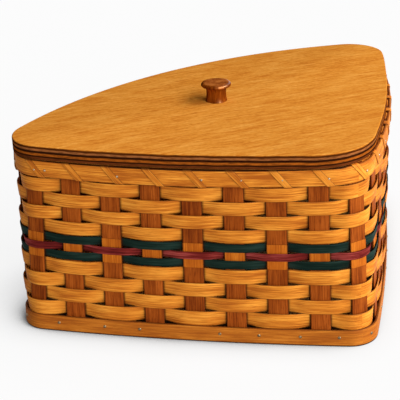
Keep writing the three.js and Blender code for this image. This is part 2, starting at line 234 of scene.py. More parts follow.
# The lid's outline, fuller at its far tip and its square corner, and moved with the lid
OUTLINE_STEPS = 480
FAR_TIP_FULLNESS = 2.2
FAR_TIP_REACH = 45.0
SQUARE_FULLNESS = 3.2
SQUARE_REACH = 32.0
shares = np.arange(OUTLINE_STEPS) / OUTLINE_STEPS
lid_outline, lid_normal = plan_at(LID_PLAN, shares, 0.0)
far_tip_run = LID_PLAN["length"][5] / 2 + LID_PLAN["length"][0]
from_far_tip = shares * LID_PLAN["total"] - far_tip_run
from_square = (shares + 0.5) % 1 * LID_PLAN["total"] - LID_PLAN["total"] / 2
fuller = FAR_TIP_FULLNESS * bell(from_far_tip, FAR_TIP_REACH)
fuller = fuller + SQUARE_FULLNESS * bell(from_square, SQUARE_REACH)
lid_outline = lid_outline + lid_normal * fuller[:, None] - LID_SHIFT

# The shaded gap under the lid: how far inside the lid's edge it stays, how much farther out it reaches along
# the front, how far the edge faces the front where that starts, beside the square corner and the front tip,
# over what both fade, and how dark it is
GAP_INSET = 8.0
GAP_WIDENING = 14.0
GAP_ENDS_AT_SQUARE = 0.6
GAP_ENDS_AT_TIP = 0.1
GAP_TURN_FADE = 0.35
GAP_EDGE_FADE = 1.5
GAP_SHADE = 0.9


def under_lid(spots):
    """One for points of the plan in the shaded gap under the lid and nothing for those outside it. The
    shade reaches beyond the lid's edge along the front wall and stays well inside it along the other
    walls. It ends earlier at the square corner than at the front tip."""
    apart = spots[..., None, :2] - lid_outline
    nearest = (apart**2).sum(-1).argmin(-1)
    facing = lid_normal[nearest]
    beyond = (np.take_along_axis(apart, nearest[..., None, None], -2)[..., 0, :] * facing).sum(-1)
    ends_at = np.where(facing[..., 0] > 0, GAP_ENDS_AT_SQUARE, GAP_ENDS_AT_TIP)
    along_front = np.clip((-facing[..., 1] - ends_at) / GAP_TURN_FADE, 0.0, 1.0)
    reach = GAP_WIDENING * along_front - GAP_INSET
    return np.clip((reach - beyond) / GAP_EDGE_FADE, 0.0, 1.0)


# Meshes

SHARP_ANGLE = math.radians(42)
knob_low, knob_high = (np.array(corner) * 1000 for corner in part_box("knob"))
SHIFT = np.append((knob_low + knob_high)[:2] / 2 - KNOB_PLACE, 0.0)


def run_length(points, closed):
    """Distance along a row of points, starting at zero, and back to the first one if the row is closed."""
    if closed:
        points = np.vstack([points, points[:1]])
    steps = np.linalg.norm(np.diff(points, axis=0), axis=-1)
    return np.concatenate([[0.0], np.cumsum(steps)])


def grid_quads(path, rounds, along, around):
    """Quads over a grid of points, and their map of the lengths along and around. Where the lengths count a
    step more than the grid has, the last points join the first."""
    rows, columns = np.meshgrid(np.arange(len(along) - 1), np.arange(len(around) - 1), indexing="ij")
    rows, columns = rows.ravel(), columns.ravel()
    corners = [(rows, columns), (rows + 1, columns), (rows + 1, columns + 1), (rows, columns + 1)]
    quads = np.stack([(row % path) * rounds + column % rounds for row, column in corners], 1)
    quad_uv = np.stack([np.stack([along[row], around[column]], -1) for row, column in corners], 1)
    return quads, quad_uv


def open_rings(path, rounds, closed_path, closed_round):
    """The rows of grid points round the open ends of a grid."""
    grid = np.arange(path * rounds).reshape(path, rounds)
    rings = []
    if not closed_path:
        rings += [grid[0], grid[-1][::-1]]
    if not closed_round:
        rings += [grid[::-1, 0], grid[:, -1]]
    return rings


def signed_volume(verts, quads, fans):
    """Six times the volume inside a mesh, and less than nothing where its faces point inwards."""
    tris = np.concatenate([quads[:, [0, 1, 2]], quads[:, [0, 2, 3]], fans])
    first, second, third = (verts[tris[:, i]] for i in range(3))
    return np.einsum("ij,ij->i", first, np.cross(second, third)).sum()


def skin(name, points, material, body, closed_path=False, closed_round=False, grain_offset=0.0,
         edge=None, painted_shade=0.0, tone=0.0, nodes=()):
    """A closed mesh over grids of points, (copies, path steps, steps round the profile, 3), in millimetres.
    The UV map gives metres along the path and round the profile. Open ends are closed with fans, and
    the faces are turned outwards by the sign of the volume. Where an edge is given, attributes hold the
    nearness to the reed's edge, the painted shade laid on it, and its own tone."""
    points = np.asarray(points, float)
    if points.ndim == 3:
        points = points[None]
    copies, path, rounds = points.shape[:3]
    along = run_length(points[0, :, 0], closed_path) / 1000
    around = run_length(points[0, 0], closed_round) / 1000
    quads, quad_uv = grid_quads(path, rounds, along, around)
    rings = open_rings(path, rounds, closed_path, closed_round)
    flat = points.reshape(copies, -1, 3)
    fans = np.zeros((0, 3), int)
    if rings:
        hubs = [flat[:, ring].mean(1) for ring in rings]
        fans = np.concatenate([
            np.stack([ring, np.roll(ring, -1), np.full(len(ring), path * rounds + i)], 1)
            for i, ring in enumerate(rings)
        ])
        flat = np.concatenate([flat, np.stack(hubs, 1)], 1)
    shift = (np.arange(copies) * flat.shape[1])[:, None, None]
    quads = (quads[None] + shift).reshape(-1, 4)
    fans = (fans[None] + shift).reshape(-1, 3)
    quad_uv = np.tile(quad_uv, (copies, 1, 1))
    verts = (flat.reshape(-1, 3) + SHIFT) / 1000
    if signed_volume(verts, quads, fans) < 0:
        quads = quads[:, ::-1]
        fans = fans[:, ::-1]
        quad_uv = quad_uv[:, ::-1]
    mesh = bpy.data.meshes.new(name)
    mesh.from_pydata(verts, [], quads.tolist() + fans.tolist())
    uv = np.concatenate([quad_uv.reshape(-1, 2) + [0.0, grain_offset], verts[fans.ravel()][:, :2]])
    mesh.uv_layers.new(name="grain").data.foreach_set("uv", uv.astype(np.float32).ravel())
    if edge is not None:
        # Attributes: nearness to the edge, painted shade, and the piece's own tone
        for key, on_grid, on_hubs in (("edge", edge, 1.0), ("painted_shade", painted_shade, 0.0), ("tone", tone, tone)):
            values = np.broadcast_to(on_grid, (copies, path, rounds)).reshape(copies, -1)
            values = np.concatenate([values, np.full((copies, len(rings)), on_hubs)], 1)
            attribute = mesh.attributes.new(key, "FLOAT", "POINT")
            attribute.data.foreach_set("value", values.astype(np.float32).ravel())
    mesh.polygons.foreach_set("use_smooth", np.ones(len(mesh.polygons), bool))
    mesh.set_sharp_from_angle(angle=SHARP_ANGLE)
    mesh.materials.append(material)
    piece = bpy.data.objects.new(name, mesh)
    scene.collection.objects.link(piece)
    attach(piece, body)
    if nodes:
        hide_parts(*nodes)


def strip_profile(width, thickness, count, width_power, thickness_power):
    """Round a flat strip's section, as across and out: |across| and |out| as shares of half the sizes, each
    raised to its power, add up to one, so the faces are crowned and the edges rounded."""
    angle = math.tau * (np.arange(count) + 0.5) / count
    across = signed_power(np.cos(angle), 2 / width_power) * width / 2
    out = signed_power(np.sin(angle), 2 / thickness_power) * thickness / 2
    return across, out


# Materials


class Nodes:
    """A node tree, and short ways to add and join its nodes."""

    def __init__(self, tree):
        self.nodes = tree.nodes
        self.links = tree.links

    def give(self, socket, value):
        """Link another node's output to a socket, or set the socket to a plain value."""
        if isinstance(value, bpy.types.NodeSocket):
            self.links.new(value, socket)
        else:
            socket.default_value = value

    def add(self, kind, inputs=None, **settings):
        """A new node with its settings, and its inputs by name or number."""
        node = self.nodes.new(kind)
        for key, value in settings.items():
            setattr(node, key, value)
        for key, value in (inputs or {}).items():
            self.give(node.inputs[key], value)
        return node

    def math(self, operation, first, second=0.0):
        """One step of arithmetic on two values."""
        return self.add("ShaderNodeMath", {0: first, 1: second}, operation=operation).outputs[0]

    def ramp(self, value, stops):
        """A colour by a value, from pairs of a value and a colour."""
        node = self.add("ShaderNodeValToRGB", {"Fac": value})
        elements = node.color_ramp.elements
        while len(elements) < len(stops):
            elements.new(0.5)
        for element, (position, colour) in zip(elements, stops):
            element.position = position
            element.color = (*colour, 1.0)
        return node.outputs["Color"]

    def blend(self, factor, first, second, mode="MIX"):
        """Two colours mixed by a factor."""
        node = self.add("ShaderNodeMix", data_type="RGBA", blend_type=mode)
        for index, value in ((0, factor), (6, first), (7, second)):
            self.give(node.inputs[index], (*value, 1.0) if isinstance(value, tuple) else value)
        return node.outputs[2]


class Shader(Nodes):
    """A material with one principled shader, and its coordinates and noises."""

    def __init__(self, name, roughness, **sockets):
        self.material = bpy.data.materials.new(name)
        self.material.use_nodes = True
        super().__init__(self.material.node_tree)
        self.surface = self.nodes["Principled BSDF"]
        self.surface.inputs["Roughness"].default_value = roughness
        for socket, value in sockets.items():
            self.surface.inputs[socket.replace("_", " ")].default_value = value

    def grain(self):
        """Metres along and across a reed, from its own map."""
        return self.add("ShaderNodeUVMap", uv_map="grain").outputs["UV"]

    def place(self):
        """Metres in the shared frame."""
        return self.add("ShaderNodeTexCoord").outputs["Object"]

    def attribute(self, name):
        """A piece's own value, by the attribute's name."""
        return self.add("ShaderNodeAttribute", attribute_name=name).outputs["Fac"]

    def facing(self):
        """The three parts of the surface's normal."""
        normal = self.add("ShaderNodeNewGeometry").outputs["Normal"]
        return self.add("ShaderNodeSeparateXYZ", {"Vector": normal}).outputs

    def noise(self, coordinates, sizes, turn=0.0, detail=3.0, rough=0.55, bend=0.0):
        """Soft noise with features of a size, in metres, along each axis, after a turn about Z."""
        mapped = self.add(
            "ShaderNodeMapping",
            {"Vector": coordinates, "Scale": sizes, "Rotation": (0.0, 0.0, turn)},
            vector_type="TEXTURE",
        )
        inputs = {"Vector": mapped.outputs["Vector"], "Scale": 1.0, "Detail": detail, "Roughness": rough}
        return self.add("ShaderNodeTexNoise", {**inputs, "Distortion": bend}).outputs["Fac"]

    def weigh(self, *shares):
        """A sum of values, each times its weight."""
        total = None
        for value, weight in shares:
            part = self.math("MULTIPLY", value, weight)
            total = part if total is None else self.math("ADD", total, part)
        return total

    def finish(self, colour, height, bump=0.2, depth=0.0004, rough=None):
        """Join the colour, a bump of some depth in metres, and the roughness where it varies."""
        self.give(self.surface.inputs["Base Color"], colour)
        if rough is not None:
            self.give(self.surface.inputs["Roughness"], rough)
        node = self.add("ShaderNodeBump", {"Strength": bump, "Distance": depth, "Height": height})
        self.give(self.surface.inputs["Normal"], node.outputs["Normal"])
        return self.material


def grey(value):
    return (value, value, value)


# Colour of painted shade in creases, gaps and corners, where shade falls
PAINTED_SHADE_COLOUR = (0.03, 0.008, 0.002)


def reed(name, dark, middle, light, edge_shade_colour, contrast=0.1, pores=0.5, rough=(0.5, 0.68), specular=0.1,
         fineness=1.0):
    """Split reed: fine fibres and wider streaks along its length, dark pores, and painted shade at its
    edges and in its creases. The tone is a weighted sum of three noises and the piece's own tone, and
    runs from dark to light."""
    low, high = rough
    shader = Shader(name, low, Specular_IOR_Level=specular)
    grain = shader.grain()
    fibre = shader.noise(grain, (0.020, 0.0006 * fineness, 1.0), rough=0.6)
    streak = shader.noise(grain, (0.040, 0.0017 * fineness, 1.0), rough=0.6, bend=0.15)
    patch = shader.noise(grain, (0.045, 0.010, 1.0), detail=1.0)
    tone = shader.weigh((fibre, 0.3), (streak, 0.42), (patch, 0.28))
    tone = shader.math("ADD", tone, shader.attribute("tone"))
    colour = shader.ramp(tone, [(0.5 - contrast, dark), (0.5, middle), (0.5 + contrast, light)])
    pore = shader.noise(grain, (0.011, 0.0008, 1.0), detail=1.0)
    pore_mask = shader.ramp(pore, [(0.58, grey(0.0)), (0.7, grey(pores))])
    colour = shader.blend(pore_mask, colour, dark)
    # Painted shade along the reed's edges, where it meets its neighbours
    edge_shade_mask = shader.ramp(shader.attribute("edge"), [(0.9, grey(0.0)), (1.0, grey(0.85))])
    colour = shader.blend(edge_shade_mask, colour, edge_shade_colour)
    # Painted shade from the piece's own attribute
    colour = shader.blend(shader.attribute("painted_shade"), colour, PAINTED_SHADE_COLOUR)
    roughness = shader.ramp(fibre, [(0.35, grey(low)), (0.65, grey(high))])
    return shader.finish(colour, streak, bump=0.3, rough=roughness)


# The first three colours, and each reed's edge colour below, are painted shade along reed edges
PAINTED_EDGE_SHADE = (0.10, 0.024, 0.003)
DARK_PAINTED_EDGE_SHADE = (0.035, 0.009, 0.002)
RIM_PAINTED_EDGE_SHADE = (0.26, 0.064, 0.006)
HONEY = ((0.44, 0.107, 0.008), (0.72, 0.226, 0.019), (0.95, 0.374, 0.0445))
SLIP = ((0.36, 0.074, 0.006), (0.50, 0.116, 0.008), (0.66, 0.19, 0.016))
BAND = ((0.35, 0.086, 0.008), (0.505, 0.146, 0.0125), (0.66, 0.220, 0.024))
WALNUT = ((0.16, 0.026, 0.003), (0.33, 0.066, 0.006), (0.46, 0.105, 0.012))
WALNUT_EDGE_SHADE = (0.045, 0.010, 0.002)
GREEN = ((0.002, 0.009, 0.006), (0.0065, 0.020, 0.014), (0.018, 0.039, 0.030))
GREEN_EDGE_SHADE = (0.002, 0.006, 0.005)
RED = ((0.075, 0.005, 0.005), (0.195, 0.0165, 0.0125), (0.42, 0.070, 0.058))
RED_EDGE_SHADE = (0.04, 0.003, 0.003)
honey_reed = reed("honey_reed", *HONEY, PAINTED_EDGE_SHADE, contrast=0.085, fineness=0.7)
rim_reed = reed("rim_reed", *HONEY, RIM_PAINTED_EDGE_SHADE, contrast=0.085, fineness=0.7)
lash_reed = reed("lash_reed", *HONEY, DARK_PAINTED_EDGE_SHADE)
slip_reed = reed("slip_reed", *SLIP, PAINTED_EDGE_SHADE, specular=0.05, fineness=0.7)
band_reed = reed("band_reed", *BAND, PAINTED_EDGE_SHADE, specular=0.08)
walnut_reed = reed("walnut_reed", *WALNUT, WALNUT_EDGE_SHADE, pores=0.7, specular=0.04, fineness=0.7)
green_reed = reed("green_reed", *GREEN, GREEN_EDGE_SHADE, contrast=0.085, pores=0.3, rough=(0.62, 0.78),
                  specular=0.06)
red_reed = reed("red_reed", *RED, RED_EDGE_SHADE, contrast=0.085, pores=0.3, rough=(0.6, 0.75), specular=0.06)


def ply_lines(shader, place):
    """Colours of the plies by height on the board's edge, wavering a little, with dark flecks."""
    share = shader.add("ShaderNodeMapRange", {
        "Value": shader.add("ShaderNodeSeparateXYZ", {"Vector": place}).outputs["Z"],
        "From Min": LID_BOTTOM / 1000,
        "From Max": LID_TOP / 1000,
    }).outputs["Result"]
    waver = shader.noise(place, (0.03, 0.03, 1.0), detail=2.0)
    share = shader.math("ADD", share, shader.math("MULTIPLY", shader.math("SUBTRACT", waver, 0.5), 0.14))
    black = (0.024, 0.006, 0.002)
    brown = (0.17, 0.038, 0.008)
    orange = (0.44, 0.105, 0.010)
    tan = (0.40, 0.128, 0.034)
    umber = (0.085, 0.019, 0.003)
    plies = shader.ramp(share, [
        (0.03, black), (0.07, brown), (0.19, brown), (0.23, black), (0.30, black),
        (0.34, orange), (0.46, orange), (0.51, black), (0.63, black), (0.68, tan), (0.78, tan),
        (0.82, umber), (0.90, umber), (0.96, (0.42, 0.12, 0.011)), (1.0, (0.64, 0.21, 0.02)),
    ])
    fleck = shader.noise(place, (0.007, 0.007, 0.0009))
    fleck_mask = shader.ramp(fleck, [(0.4, grey(0.0)), (0.68, grey(0.7))])
    return shader.blend(fleck_mask, plies, (0.05, 0.013, 0.003))


def stained_ply():
    """Stained plywood: streaks and short pores along the face grain, and dark and light plies by height on
    the edge."""
    shader = Shader("stained_ply", 0.38, Specular_IOR_Level=0.0)
    place = shader.place()
    turn = math.radians(24.5)
    streak = shader.noise(place, (0.017, 0.0018, 1.0), turn, detail=4.0, rough=0.65, bend=0.4)
    crossing = shader.noise(place, (0.034, 0.0024, 1.0), turn + 0.14, rough=0.6, bend=0.5)
    cloud = shader.noise(place, (0.05, 0.016, 1.0), turn, detail=2.0)
    speckle = shader.noise(place, (0.0035, 0.0028, 1.0), turn, detail=2.0)
    tone = shader.weigh((streak, 0.36), (crossing, 0.30), (cloud, 0.20), (speckle, 0.14))
    dark, middle, light = (0.55, 0.163, 0.017), (0.69, 0.258, 0.032), (0.80, 0.350, 0.064)
    face = shader.ramp(tone, [(0.40, dark), (0.5, middle), (0.60, light)])
    pore = shader.noise(place, (0.006, 0.0009, 1.0), turn, detail=2.0)
    pore_mask = shader.ramp(pore, [(0.57, grey(0.0)), (0.7, grey(0.55))])
    face = shader.blend(pore_mask, face, (0.45, 0.122, 0.012))
    level = shader.math("ABSOLUTE", shader.facing()["Z"])
    is_face = shader.ramp(level, [(0.5, grey(0.0)), (0.8, grey(1.0))])
    colour = shader.blend(is_face, ply_lines(shader, place), face)
    return shader.finish(colour, streak, bump=0.06, depth=0.0003)


def plain_wood(name, light, dark, turn):
    """Unstained wood: soft streaks along its grain, with short dark pores, and painted shade in its creases.
    """
    shader = Shader(name, 0.55, Specular_IOR_Level=0.2)
    place = shader.place()
    streak = shader.noise(place, (0.11, 0.0066, 0.0066), turn, detail=4.0, rough=0.6, bend=0.4)
    pore = shader.noise(place, (0.02, 0.00125, 0.00125), turn, detail=2.0)
    colour = shader.ramp(streak, [(0.34, dark), (0.62, light)])
    colour = shader.blend(shader.ramp(pore, [(0.58, grey(0.0)), (0.74, grey(0.5))]), colour, dark)
    # Painted shade where the piece's own attribute lays it
    colour = shader.blend(shader.attribute("painted_shade"), colour, PAINTED_SHADE_COLOUR)
    return shader.finish(colour, streak, bump=0.12)


def turned_wood():
    """Glossy chestnut stain on turned wood: upright grain on the stem, and dull, darker end grain on the
    flat top. The gloss is strongest where the wood slopes upwards and a little to the right, and the flat
    top and the left side have none."""
    shader = Shader("knob_wood", 0.2, IOR=1.8, Specular_Tint=(1.0, 0.5, 0.2, 1.0))
    place = shader.place()
    grain = shader.noise(place, (0.0026, 0.0022, 0.03), detail=4.0, rough=0.6, bend=0.6)
    wide = shader.noise(place, (0.011, 0.006, 0.05), detail=2.0)
    tone = shader.weigh((grain, 0.45), (wide, 0.55))
    dark, middle, light = (0.075, 0.012, 0.001), (0.175, 0.035, 0.0023), (0.36, 0.085, 0.006)
    stem = shader.ramp(tone, [(0.39, dark), (0.5, middle), (0.61, light)])
    dark, middle, light = (0.19, 0.042, 0.007), (0.32, 0.084, 0.014), (0.43, 0.13, 0.025)
    top = shader.ramp(tone, [(0.39, dark), (0.5, middle), (0.61, light)])
    facing = shader.facing()
    flat_top = shader.ramp(facing["Z"], [(0.95, grey(0.0)), (0.995, grey(1.0))])
    upward = [(0.05, grey(0.5)), (0.4, grey(1.0)), (0.8, grey(1.0)), (0.97, grey(0.0))]
    rightward = [(0.5, grey(0.0)), (0.72, grey(1.0)), (0.8, grey(0.8)), (0.9, grey(0.0))]
    sideways = shader.math("ADD", shader.math("MULTIPLY", facing["X"], 0.5), 0.5)
    gloss = shader.math("MULTIPLY", shader.ramp(facing["Z"], upward), shader.ramp(sideways, rightward))
    shader.give(shader.surface.inputs["Specular IOR Level"], gloss)
    return shader.finish(shader.blend(flat_top, stem, top), grain, bump=0.05, depth=0.0002)


def aged_metal(name, light, dark, rough):
    """Metal with fine cloudy tarnish."""
    shader = Shader(name, rough, Metallic=1.0)
    cloud = shader.noise(shader.place(), (0.0011, 0.0011, 0.0011))
    colour = shader.ramp(cloud, [(0.35, dark), (0.65, light)])
    return shader.finish(colour, cloud, bump=0.1, depth=0.0001)


lid_ply = stained_ply()
base_ply = plain_wood("base_ply", (0.62, 0.37, 0.14), (0.42, 0.21, 0.065), math.radians(8))
cleat_wood = plain_wood("cleat_wood", (0.64, 0.39, 0.15), (0.45, 0.23, 0.075), 0.0)
knob_wood = turned_wood()
tack_metal = aged_metal("tack_metal", (0.34, 0.24, 0.13), (0.09, 0.058, 0.03), 0.42)
brad_metal = aged_metal("brad_metal", (0.55, 0.43, 0.28), (0.22, 0.16, 0.09), 0.42)
screw_steel = aged_metal("screw_steel", (0.55, 0.55, 0.54), (0.34, 0.34, 0.34), 0.32)
REEDS = {"honey_reed": honey_reed, "green_reed": green_reed, "red_reed": red_reed}

# Where each kind of reed starts in the grain pattern, in metres across it, so that no two look alike
REED_APART = 0.1
SLIP_GRAIN = 4.0
WEAVER_GRAIN = 8.0
BOTTOM_BAND_GRAIN = 20.0
OUTER_RIM_GRAIN = 21.0
INNER_RIM_GRAIN = 22.0
LASH_GRAIN = 23.0
FILLER_GRAIN = 24.0

# Stakes

STAKE_ROWS = 40
STAKE_TONES = 0.02
levels = np.linspace(STAKE_FOOT, WALL_HEIGHT - CLEARANCE, STAKE_ROWS)
across, out = strip_profile(STAKE_WIDTH, STAKE_THICKNESS, count=16, width_power=12.0, thickness_power=3.0)
across_turn = across[None] / spacing(levels)[:, None]
stake_tones = STAKE_TONES * rng.standard_normal(STAKE_COUNT)
for index in range(STAKE_COUNT):
    name = f"stake_{index + 1:02d}"
    points = wall(index + across_turn, out[None], levels[:, None])
    skin(name + "_reed", points, walnut_reed, "basket", closed_round=True,
         grain_offset=REED_APART * index, edge=np.abs(across) * 2 / STAKE_WIDTH, tone=stake_tones[index],
         nodes=[name])

# Short slips of honey reed over the stakes, across the stripe, in rows of heights that crowd at both ends

SLIP_WIDTH = 19.0
SLIP_THICKNESS = 0.3
SLIP_ROWS = np.array([0.0, 0.7, 4.0, 8.0, 12.7, 17.4, 21.4, 24.7, 25.4])
slip_levels = STRIPE_BOTTOM + SLIP_ROWS
is_end = (SLIP_ROWS == SLIP_ROWS[0]) | (SLIP_ROWS == SLIP_ROWS[-1])
across, out = strip_profile(SLIP_WIDTH, SLIP_THICKNESS, count=16, width_power=12.0, thickness_power=4.0)
across_turn = across[None] / spacing(slip_levels)[:, None]
slip_out = (STAKE_THICKNESS + SLIP_THICKNESS) / 2 + out
# Painted shade along the slips' side edges and across their end rows
slip_edge = np.maximum(np.abs(across)[None] * 2 / SLIP_WIDTH, is_end[:, None])
for index in range(STAKE_COUNT):
    points = wall(index + across_turn, slip_out[None], slip_levels[:, None])
    skin(f"stripe_slip_{index + 1:02d}", points, slip_reed, "basket", closed_round=True,
         grain_offset=SLIP_GRAIN + REED_APART * index, edge=slip_edge)

# Weavers: the make of both kinds, their lean at the front and on the curve, how rows pack and drift, how
# far the lowest row dips where it lies outside, and the painted shade in the creases beside the stakes

PLAIN_REED = {"thickness": 1.2, "crown": 2.4, "swing": 1.95, "flatness": 1.25, "meeting": 0.55}
STRIPE_REED = {"thickness": 0.9, "crown": 4.0, "swing": 1.75, "flatness": 1.8, "meeting": 0.3}
WEAVER_STEPS = 32
LEAN = -0.7
CURVE_LEAN = -0.9
CURVE_HALF = 6.5
PACKING = 0.1
CURVE_PACKING = 0.7
DRIFT = 0.07
DRIFT_BEATS = (3, 7, 11)
FOOT_DIP = 1.2
DIP_SWING = 1.2
CREASE_DEPTH = 0.8
CREASE_START = 0.4
CREASE_WIDTH = 0.9
CORNER_DEPTH = 0.95
CORNER_LENGTH = 5.5
LOW_EDGE_FROM = 0.72
LOW_EDGE_FADE = 0.12
BEHIND_STAKE = -1.5
turns = np.arange(STAKE_COUNT * WEAVER_STEPS) / WEAVER_STEPS
on_curve = smooth(np.clip(CURVE_HALF - np.abs(turns - STAKE_COUNT / 2), 0.0, 1.0))
row_lean = LEAN + (CURVE_LEAN - LEAN) * on_curve


def weaver(order, name, bottom, width, over, finish):
    """One row round the basket: it swings out over one stake and in behind the next as a flattened cosine,
    its top edge leans outward, and its edges meet the rows beside it. It carries painted shade beside
    each stake that it goes behind, and along its lower edge there."""
    make = PLAIN_REED if finish == "honey_reed" else STRIPE_REED
    full_width = width + 2 * make["meeting"]
    across, out = strip_profile(full_width, make["thickness"], count=18, width_power=8.0,
                                thickness_power=make["crown"])
    edge = across * 2 / full_width
    wave = np.tanh(make["flatness"] * np.cos(math.pi * (turns - over))) / math.tanh(make["flatness"])
    face = make["swing"] * wave[:, None] + out[None] - row_lean[:, None] * edge[None]
    drift = np.zeros_like(turns)
    for beat in DRIFT_BEATS:
        drift += DRIFT * np.sin(math.tau * (beat * turns / STAKE_COUNT + rng.random()))
    middle_level = bottom + width / 2 + drift
    packed = (PACKING + CURVE_PACKING * on_curve) * wave**2
    dip = FOOT_DIP * np.clip(1.0 + DIP_SWING * wave, 0.0, 1.0) * (order == 0)
    level = middle_level[:, None] + across[None] + packed[:, None] * edge[None]
    level = level + dip[:, None] * np.minimum(edge, 0.0)
    points = wall(turns[:, None], face, level)
    from_stake = np.abs((turns - over) % 2 - 1) * spacing(middle_level) - STAKE_WIDTH / 2
    bare = from_stake > BEHIND_STAKE
    # Painted shade in the crease beside each stake the row goes behind, and in the corner along its lower
    # edge
    painted_shade = CREASE_DEPTH * bell(np.maximum(from_stake - CREASE_START, 0.0), CREASE_WIDTH) * bare
    corner = CORNER_DEPTH * bell(np.maximum(from_stake, 0.0), CORNER_LENGTH) * bare
    low_edge = np.clip((-edge - LOW_EDGE_FROM) / LOW_EDGE_FADE, 0.0, 1.0)
    painted_shade = np.maximum(painted_shade[:, None], corner[:, None] * low_edge[None]) * (out > 0)[None]
    skin(name + "_reed", points, REEDS[finish], "basket", closed_path=True, closed_round=True,
         grain_offset=WEAVER_GRAIN + order, edge=np.abs(edge), painted_shade=painted_shade, nodes=[name])


for order, row in enumerate(ROWS):
    weaver(order, *row)

# Bottom band and the two rim bands

BAND_STEPS = 12
BAND_TONE = -0.011
# Painted shadow line at the bottom band's foot, and the shares of the rim bands' heights above which painted
# shade lies under the lid
FOOT_LINE = 0.92
FOOT_LINE_FROM = 0.44
OUTER_SHADE_FROM = 0.47
INNER_SHADE_FROM = 0.35


def band(name, bottom, top, offset, material, grain_offset, shade_from=0.5, foot_line=0.0):
    """A flat strip bent round the wall. It carries painted shade in the gap under the lid above a share of
    its height, which is counted from the middle. A foot line of painted shadow darkens its lowest edge."""
    height = top - bottom
    across, out = strip_profile(height, BAND_THICKNESS, count=20, width_power=14.0, thickness_power=4.0)
    run = np.arange(STAKE_COUNT * BAND_STEPS) / BAND_STEPS
    points = wall(run[:, None], offset + out[None], (bottom + top) / 2 + across[None])
    # Painted shade in the gap under the lid, and a painted shadow line along the foot
    painted_shade = GAP_SHADE * under_lid(points[:, 0])[:, None] * (across > shade_from * height)[None]
    painted_shade = painted_shade + foot_line * (across < -FOOT_LINE_FROM * height)[None]
    skin(name + "_reed", points, material, "basket", closed_path=True, closed_round=True,
         grain_offset=grain_offset, edge=np.abs(across) * 2 / height, painted_shade=painted_shade, tone=BAND_TONE,
         nodes=[name])


band("bottom_band", 0.0, BAND_HEIGHT, BAND_OFFSET, band_reed, BOTTOM_BAND_GRAIN,
     foot_line=FOOT_LINE)
band("rim_outer_band", RIM_BOTTOM, WALL_HEIGHT, BAND_OFFSET, rim_reed, OUTER_RIM_GRAIN,
     shade_from=OUTER_SHADE_FROM)
band("rim_inner_band", RIM_BOTTOM, WALL_HEIGHT, -BAND_OFFSET, rim_reed, INNER_RIM_GRAIN,
     shade_from=INNER_SHADE_FROM)

# Rim filler: short strips between the rim bands, from stake to stake

FILLER_THICKNESS = 2.0
FILLER_HEIGHT = 8.0
FILLER_TOP = WALL_HEIGHT - 0.8
FILLER_GAP = 0.2
FILLER_STEPS = 7
FILLER_TONE = -0.02
across, out = strip_profile(FILLER_HEIGHT, FILLER_THICKNESS, count=16, width_power=8.0, thickness_power=3.0)
filler_half = 0.5 - (STAKE_WIDTH / 2 + FILLER_GAP) / spacing(FILLER_TOP)
filler_run = np.linspace(0.5 - filler_half, 0.5 + filler_half, FILLER_STEPS)
points = wall(
    np.arange(STAKE_COUNT)[:, None, None] + filler_run[None, :, None],
    out[None, None],
    FILLER_TOP - FILLER_HEIGHT / 2 + across[None, None],
)
# The filler carries painted shade where it lies in the gap under the lid
skin("rim_filler", points, rim_reed, "basket", closed_round=True, grain_offset=FILLER_GRAIN,
     edge=np.zeros_like(across), painted_shade=GAP_SHADE * under_lid(points), tone=FILLER_TONE)

# Lashing: a strip wound round both rim bands, slanting down the outside and up the inside. Its path round
# the bands is a circle drawn out towards a square, and its face turns quickly at the corners

LASH_STEPS = 48
LASH_WIDTH = 8.0
LASH_THICKNESS = 0.7
LASH_HALF_OUT = 4.0
LASH_HALF_HEIGHT = 8.4
LASH_TOP_PLACE = -3.0
LASH_BOTTOM_PLACE = 11.5
LASH_SQUARENESS = 0.22
LASH_TURNING = 6
LASH_TONE = -0.012
LASH_SHADE_FROM = 0.8
LASH_SHADE_FADE = 0.15
RIGHT_EDGE_MARK = 0.5
LEFT_EDGE_MARK = 0.475
across, out = strip_profile(LASH_WIDTH, LASH_THICKNESS, count=12, width_power=10.0, thickness_power=3.0)
winds = np.arange(STAKE_COUNT * LASH_STEPS) / LASH_STEPS
angle = math.tau * (0.25 - winds % 1)
cosine, sine = np.cos(angle), np.sin(angle)
path_out = signed_power(cosine, LASH_SQUARENESS)
path_up = signed_power(sine, LASH_SQUARENESS)
rim_spacing = spacing(WALL_HEIGHT)
top_turn = LASH_TOP_PLACE / rim_spacing
bottom_turn = LASH_BOTTOM_PLACE / rim_spacing
fall = (1 - path_up) / 2
outside = top_turn + (bottom_turn - top_turn) * fall
inside = 1 + top_turn + (bottom_turn - 1 - top_turn) * fall
lash_turn = np.floor(winds) + np.where(winds % 1 < 0.5, outside, inside)
facing = np.stack([signed_power(cosine, LASH_TURNING), signed_power(sine, LASH_TURNING)], -1)
facing /= np.linalg.norm(facing, axis=-1, keepdims=True)
rim_middle = (RIM_BOTTOM + WALL_HEIGHT) / 2
points = wall(
    lash_turn[:, None] + across[None] / rim_spacing,
    LASH_HALF_OUT * path_out[:, None] + facing[:, :1] * out[None],
    rim_middle + LASH_HALF_HEIGHT * path_up[:, None] + facing[:, 1:] * out[None],
)
# Both edges get painted shade, the right edge more than the left, as on its shadowed side
lash_edge = np.where(across > 0, RIGHT_EDGE_MARK, LEFT_EDGE_MARK) + np.abs(across) / LASH_WIDTH
# Painted shade on the lash's top where it lies in the gap under the lid
on_top = np.clip((path_up - LASH_SHADE_FROM) / LASH_SHADE_FADE, 0.0, 1.0)
lash_painted_shade = GAP_SHADE * under_lid(points[:, 0]) * on_top
skin("rim_lashing_reed", points, lash_reed, "basket", closed_path=True, closed_round=True,
     grain_offset=LASH_GRAIN, edge=lash_edge, painted_shade=lash_painted_shade[:, None], tone=LASH_TONE,
     nodes=["rim_lashing"])

